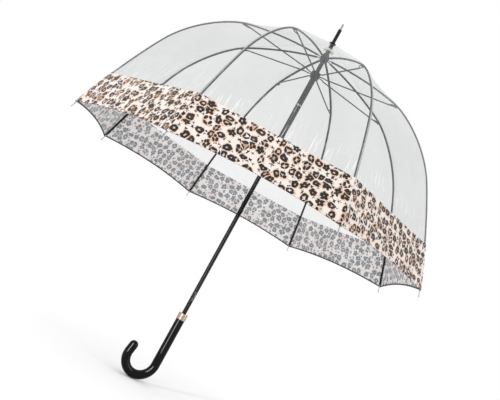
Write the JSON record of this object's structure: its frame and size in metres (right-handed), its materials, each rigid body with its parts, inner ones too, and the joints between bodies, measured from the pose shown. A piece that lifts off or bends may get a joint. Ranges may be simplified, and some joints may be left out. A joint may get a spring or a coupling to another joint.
{
  "type": "dome umbrella",
  "caption": "Clear dome umbrella with a printed hem band, fluted folding ribs, a long sliding runner and a crook handle.",
  "frame": {"origin": "on the shaft axis, level with the lowest point of the crook", "axes": "+Z along the shaft towards the ferrule, -X from the shaft towards the crook's open end"},
  "size_m": [0.8676, 0.8676, 0.9415],
  "materials": {
    "black_shaft": "gloss black baked enamel",
    "nickel": "dull nickel plate",
    "black_nylon": "moulded nylon, satin",
    "pale_plastic": "milky translucent plastic",
    "rose_gold": "polished champagne-gold plate",
    "black_gloss": "glossy black lacquer",
    "clear_film": "clear vinyl film, gloss",
    "printed_film": "vinyl film printed with animal spots",
    "edging": "narrow woven tape",
    "rib_steel": "black electroplated steel, semi-gloss"
  },
  "bodies": {
    "shaft": {"shaft": "black_shaft", "shaft_pins": "nickel", "crown": "black_nylon", "crown_ring": "nickel", "crown_rosette": "pale_plastic", "ferrule": "black_nylon", "ferrule_tip": "nickel", "collar": "rose_gold", "handle": "black_gloss", "canopy": "clear_film", "printed_band": "printed_film", "hem_edging": "edging"},
    "runner": {"runner_head": "black_nylon", "runner_ring": "nickel", "sleeve_ring": "nickel", "runner_sleeve": "black_shaft", "sleeve_bush": "black_nylon"},
    "top_catch": {"top_catch": "nickel"},
    "bottom_catch": {"bottom_catch": "nickel"},
    "rib_1_inner": {"rib_1_inner": "rib_steel"},
    "rib_1_middle": {"rib_1_middle": "rib_steel"},
    "rib_1_outer": {"rib_1_outer": "rib_steel", "rib_1_tip": "nickel"},
    "stretcher_1": {"stretcher_1": "rib_steel"},
    "rib_2_inner": {"rib_2_inner": "rib_steel"},
    "rib_2_middle": {"rib_2_middle": "rib_steel"},
    "rib_2_outer": {"rib_2_outer": "rib_steel", "rib_2_tip": "nickel"},
    "stretcher_2": {"stretcher_2": "rib_steel"},
    "rib_3_inner": {"rib_3_inner": "rib_steel"},
    "rib_3_middle": {"rib_3_middle": "rib_steel"},
    "rib_3_outer": {"rib_3_outer": "rib_steel", "rib_3_tip": "nickel"},
    "stretcher_3": {"stretcher_3": "rib_steel"},
    "rib_4_inner": {"rib_4_inner": "rib_steel"},
    "rib_4_middle": {"rib_4_middle": "rib_steel"},
    "rib_4_outer": {"rib_4_outer": "rib_steel", "rib_4_tip": "nickel"},
    "stretcher_4": {"stretcher_4": "rib_steel"},
    "rib_5_inner": {"rib_5_inner": "rib_steel"},
    "rib_5_middle": {"rib_5_middle": "rib_steel"},
    "rib_5_outer": {"rib_5_outer": "rib_steel", "rib_5_tip": "nickel"},
    "stretcher_5": {"stretcher_5": "rib_steel"},
    "rib_6_inner": {"rib_6_inner": "rib_steel"},
    "rib_6_middle": {"rib_6_middle": "rib_steel"},
    "rib_6_outer": {"rib_6_outer": "rib_steel", "rib_6_tip": "nickel"},
    "stretcher_6": {"stretcher_6": "rib_steel"},
    "rib_7_inner": {"rib_7_inner": "rib_steel"},
    "rib_7_middle": {"rib_7_middle": "rib_steel"},
    "rib_7_outer": {"rib_7_outer": "rib_steel", "rib_7_tip": "nickel"},
    "stretcher_7": {"stretcher_7": "rib_steel"},
    "rib_8_inner": {"rib_8_inner": "rib_steel"},
    "rib_8_middle": {"rib_8_middle": "rib_steel"},
    "rib_8_outer": {"rib_8_outer": "rib_steel", "rib_8_tip": "nickel"},
    "stretcher_8": {"stretcher_8": "rib_steel"}
  },
  "joints": [
    {"name": "runner_slide", "type": "slide", "parent": "shaft", "child": "runner", "axis": [0, 0, 1], "range_m": [-0.3589, 0], "deforming": ["canopy", "printed_band", "hem_edging", "top_catch", "bottom_catch"]},
    {"name": "top_catch_press", "type": "slide", "parent": "shaft", "child": "top_catch", "axis": [0, 1, 0], "range_m": [0, 0.0026], "stiffness_N_per_m": 2000, "springref_m": -0.001},
    {"name": "bottom_catch_press", "type": "slide", "parent": "shaft", "child": "bottom_catch", "axis": [0, 1, 0], "range_m": [0, 0.0026], "stiffness_N_per_m": 2000, "springref_m": -0.001},
    {"name": "rib_1_crown_pivot", "type": "hinge", "parent": "shaft", "child": "rib_1_inner", "pos_m": [0.0075, 0, 0.845], "axis": [0, 1, 0], "range_deg": [0, 73.28]},
    {"name": "rib_1_shoulder_flex", "type": "hinge", "parent": "rib_1_inner", "child": "rib_1_middle", "pos_m": [0.2125, 0, 0.798], "axis": [0, 1, 0], "range_deg": [-31.94, 0]},
    {"name": "rib_1_knee_flex", "type": "hinge", "parent": "rib_1_middle", "child": "rib_1_outer", "pos_m": [0.34, 0, 0.672], "axis": [0, 1, 0], "range_deg": [-21.35, 0]},
    {"name": "stretcher_1_runner_pivot", "type": "hinge", "parent": "runner", "child": "stretcher_1", "pos_m": [0.0087, 0, 0.7985], "axis": [0, 1, 0], "range_deg": [-88.25, 0]},
    {"name": "rib_2_crown_pivot", "type": "hinge", "parent": "shaft", "child": "rib_2_inner", "pos_m": [0.0053, 0.0053, 0.845], "axis": [-0.7071, 0.7071, 0], "range_deg": [0, 73.28]},
    {"name": "rib_2_shoulder_flex", "type": "hinge", "parent": "rib_2_inner", "child": "rib_2_middle", "pos_m": [0.15026, 0.15026, 0.798], "axis": [-0.7071, 0.7071, 0], "range_deg": [-31.94, 0]},
    {"name": "rib_2_knee_flex", "type": "hinge", "parent": "rib_2_middle", "child": "rib_2_outer", "pos_m": [0.24042, 0.24042, 0.672], "axis": [-0.7071, 0.7071, 0], "range_deg": [-21.35, 0]},
    {"name": "stretcher_2_runner_pivot", "type": "hinge", "parent": "runner", "child": "stretcher_2", "pos_m": [0.00615, 0.00615, 0.7985], "axis": [-0.7071, 0.7071, 0], "range_deg": [-88.25, 0]},
    {"name": "rib_3_crown_pivot", "type": "hinge", "parent": "shaft", "child": "rib_3_inner", "pos_m": [0, 0.0075, 0.845], "axis": [-1, 0, 0], "range_deg": [0, 73.28]},
    {"name": "rib_3_shoulder_flex", "type": "hinge", "parent": "rib_3_inner", "child": "rib_3_middle", "pos_m": [0, 0.2125, 0.798], "axis": [-1, 0, 0], "range_deg": [-31.94, 0]},
    {"name": "rib_3_knee_flex", "type": "hinge", "parent": "rib_3_middle", "child": "rib_3_outer", "pos_m": [0, 0.34, 0.672], "axis": [-1, 0, 0], "range_deg": [-21.35, 0]},
    {"name": "stretcher_3_runner_pivot", "type": "hinge", "parent": "runner", "child": "stretcher_3", "pos_m": [0, 0.0087, 0.7985], "axis": [-1, 0, 0], "range_deg": [-88.25, 0]},
    {"name": "rib_4_crown_pivot", "type": "hinge", "parent": "shaft", "child": "rib_4_inner", "pos_m": [-0.0053, 0.0053, 0.845], "axis": [-0.7071, -0.7071, 0], "range_deg": [0, 73.28]},
    {"name": "rib_4_shoulder_flex", "type": "hinge", "parent": "rib_4_inner", "child": "rib_4_middle", "pos_m": [-0.15026, 0.15026, 0.798], "axis": [-0.7071, -0.7071, 0], "range_deg": [-31.94, 0]},
    {"name": "rib_4_knee_flex", "type": "hinge", "parent": "rib_4_middle", "child": "rib_4_outer", "pos_m": [-0.24042, 0.24042, 0.672], "axis": [-0.7071, -0.7071, 0], "range_deg": [-21.35, 0]},
    {"name": "stretcher_4_runner_pivot", "type": "hinge", "parent": "runner", "child": "stretcher_4", "pos_m": [-0.00615, 0.00615, 0.7985], "axis": [-0.7071, -0.7071, 0], "range_deg": [-88.25, 0]},
    {"name": "rib_5_crown_pivot", "type": "hinge", "parent": "shaft", "child": "rib_5_inner", "pos_m": [-0.0075, 0, 0.845], "axis": [0, -1, 0], "range_deg": [0, 73.28]},
    {"name": "rib_5_shoulder_flex", "type": "hinge", "parent": "rib_5_inner", "child": "rib_5_middle", "pos_m": [-0.2125, 0, 0.798], "axis": [0, -1, 0], "range_deg": [-31.94, 0]},
    {"name": "rib_5_knee_flex", "type": "hinge", "parent": "rib_5_middle", "child": "rib_5_outer", "pos_m": [-0.34, 0, 0.672], "axis": [0, -1, 0], "range_deg": [-21.35, 0]},
    {"name": "stretcher_5_runner_pivot", "type": "hinge", "parent": "runner", "child": "stretcher_5", "pos_m": [-0.0087, 0, 0.7985], "axis": [0, -1, 0], "range_deg": [-88.25, 0]},
    {"name": "rib_6_crown_pivot", "type": "hinge", "parent": "shaft", "child": "rib_6_inner", "pos_m": [-0.0053, -0.0053, 0.845], "axis": [0.7071, -0.7071, 0], "range_deg": [0, 73.28]},
    {"name": "rib_6_shoulder_flex", "type": "hinge", "parent": "rib_6_inner", "child": "rib_6_middle", "pos_m": [-0.15026, -0.15026, 0.798], "axis": [0.7071, -0.7071, 0], "range_deg": [-31.94, 0]},
    {"name": "rib_6_knee_flex", "type": "hinge", "parent": "rib_6_middle", "child": "rib_6_outer", "pos_m": [-0.24042, -0.24042, 0.672], "axis": [0.7071, -0.7071, 0], "range_deg": [-21.35, 0]},
    {"name": "stretcher_6_runner_pivot", "type": "hinge", "parent": "runner", "child": "stretcher_6", "pos_m": [-0.00615, -0.00615, 0.7985], "axis": [0.7071, -0.7071, 0], "range_deg": [-88.25, 0]},
    {"name": "rib_7_crown_pivot", "type": "hinge", "parent": "shaft", "child": "rib_7_inner", "pos_m": [0, -0.0075, 0.845], "axis": [1, 0, 0], "range_deg": [0, 73.28]},
    {"name": "rib_7_shoulder_flex", "type": "hinge", "parent": "rib_7_inner", "child": "rib_7_middle", "pos_m": [0, -0.2125, 0.798], "axis": [1, 0, 0], "range_deg": [-31.94, 0]},
    {"name": "rib_7_knee_flex", "type": "hinge", "parent": "rib_7_middle", "child": "rib_7_outer", "pos_m": [0, -0.34, 0.672], "axis": [1, 0, 0], "range_deg": [-21.35, 0]},
    {"name": "stretcher_7_runner_pivot", "type": "hinge", "parent": "runner", "child": "stretcher_7", "pos_m": [0, -0.0087, 0.7985], "axis": [1, 0, 0], "range_deg": [-88.25, 0]},
    {"name": "rib_8_crown_pivot", "type": "hinge", "parent": "shaft", "child": "rib_8_inner", "pos_m": [0.0053, -0.0053, 0.845], "axis": [0.7071, 0.7071, 0], "range_deg": [0, 73.28]},
    {"name": "rib_8_shoulder_flex", "type": "hinge", "parent": "rib_8_inner", "child": "rib_8_middle", "pos_m": [0.15026, -0.15026, 0.798], "axis": [0.7071, 0.7071, 0], "range_deg": [-31.94, 0]},
    {"name": "rib_8_knee_flex", "type": "hinge", "parent": "rib_8_middle", "child": "rib_8_outer", "pos_m": [0.24042, -0.24042, 0.672], "axis": [0.7071, 0.7071, 0], "range_deg": [-21.35, 0]},
    {"name": "stretcher_8_runner_pivot", "type": "hinge", "parent": "runner", "child": "stretcher_8", "pos_m": [0.00615, -0.00615, 0.7985], "axis": [0.7071, 0.7071, 0], "range_deg": [-88.25, 0]}
  ],
  "couplings": [
    {"joint": "rib_1_crown_pivot", "follows": "runner_slide", "rad_per_m": -3.5631},
    {"joint": "rib_1_shoulder_flex", "follows": "runner_slide", "rad_per_m": 1.5528},
    {"joint": "rib_1_knee_flex", "follows": "runner_slide", "rad_per_m": 1.0379},
    {"joint": "stretcher_1_runner_pivot", "follows": "runner_slide", "rad_per_m": 4.2912},
    {"joint": "rib_2_crown_pivot", "follows": "runner_slide", "rad_per_m": -3.5631},
    {"joint": "rib_2_shoulder_flex", "follows": "runner_slide", "rad_per_m": 1.5528},
    {"joint": "rib_2_knee_flex", "follows": "runner_slide", "rad_per_m": 1.0379},
    {"joint": "stretcher_2_runner_pivot", "follows": "runner_slide", "rad_per_m": 4.2912},
    {"joint": "rib_3_crown_pivot", "follows": "runner_slide", "rad_per_m": -3.5631},
    {"joint": "rib_3_shoulder_flex", "follows": "runner_slide", "rad_per_m": 1.5528},
    {"joint": "rib_3_knee_flex", "follows": "runner_slide", "rad_per_m": 1.0379},
    {"joint": "stretcher_3_runner_pivot", "follows": "runner_slide", "rad_per_m": 4.2912},
    {"joint": "rib_4_crown_pivot", "follows": "runner_slide", "rad_per_m": -3.5631},
    {"joint": "rib_4_shoulder_flex", "follows": "runner_slide", "rad_per_m": 1.5528},
    {"joint": "rib_4_knee_flex", "follows": "runner_slide", "rad_per_m": 1.0379},
    {"joint": "stretcher_4_runner_pivot", "follows": "runner_slide", "rad_per_m": 4.2912},
    {"joint": "rib_5_crown_pivot", "follows": "runner_slide", "rad_per_m": -3.5631},
    {"joint": "rib_5_shoulder_flex", "follows": "runner_slide", "rad_per_m": 1.5528},
    {"joint": "rib_5_knee_flex", "follows": "runner_slide", "rad_per_m": 1.0379},
    {"joint": "stretcher_5_runner_pivot", "follows": "runner_slide", "rad_per_m": 4.2912},
    {"joint": "rib_6_crown_pivot", "follows": "runner_slide", "rad_per_m": -3.5631},
    {"joint": "rib_6_shoulder_flex", "follows": "runner_slide", "rad_per_m": 1.5528},
    {"joint": "rib_6_knee_flex", "follows": "runner_slide", "rad_per_m": 1.0379},
    {"joint": "stretcher_6_runner_pivot", "follows": "runner_slide", "rad_per_m": 4.2912},
    {"joint": "rib_7_crown_pivot", "follows": "runner_slide", "rad_per_m": -3.5631},
    {"joint": "rib_7_shoulder_flex", "follows": "runner_slide", "rad_per_m": 1.5528},
    {"joint": "rib_7_knee_flex", "follows": "runner_slide", "rad_per_m": 1.0379},
    {"joint": "stretcher_7_runner_pivot", "follows": "runner_slide", "rad_per_m": 4.2912},
    {"joint": "rib_8_crown_pivot", "follows": "runner_slide", "rad_per_m": -3.5631},
    {"joint": "rib_8_shoulder_flex", "follows": "runner_slide", "rad_per_m": 1.5528},
    {"joint": "rib_8_knee_flex", "follows": "runner_slide", "rad_per_m": 1.0379},
    {"joint": "stretcher_8_runner_pivot", "follows": "runner_slide", "rad_per_m": 4.2912}
  ]
}
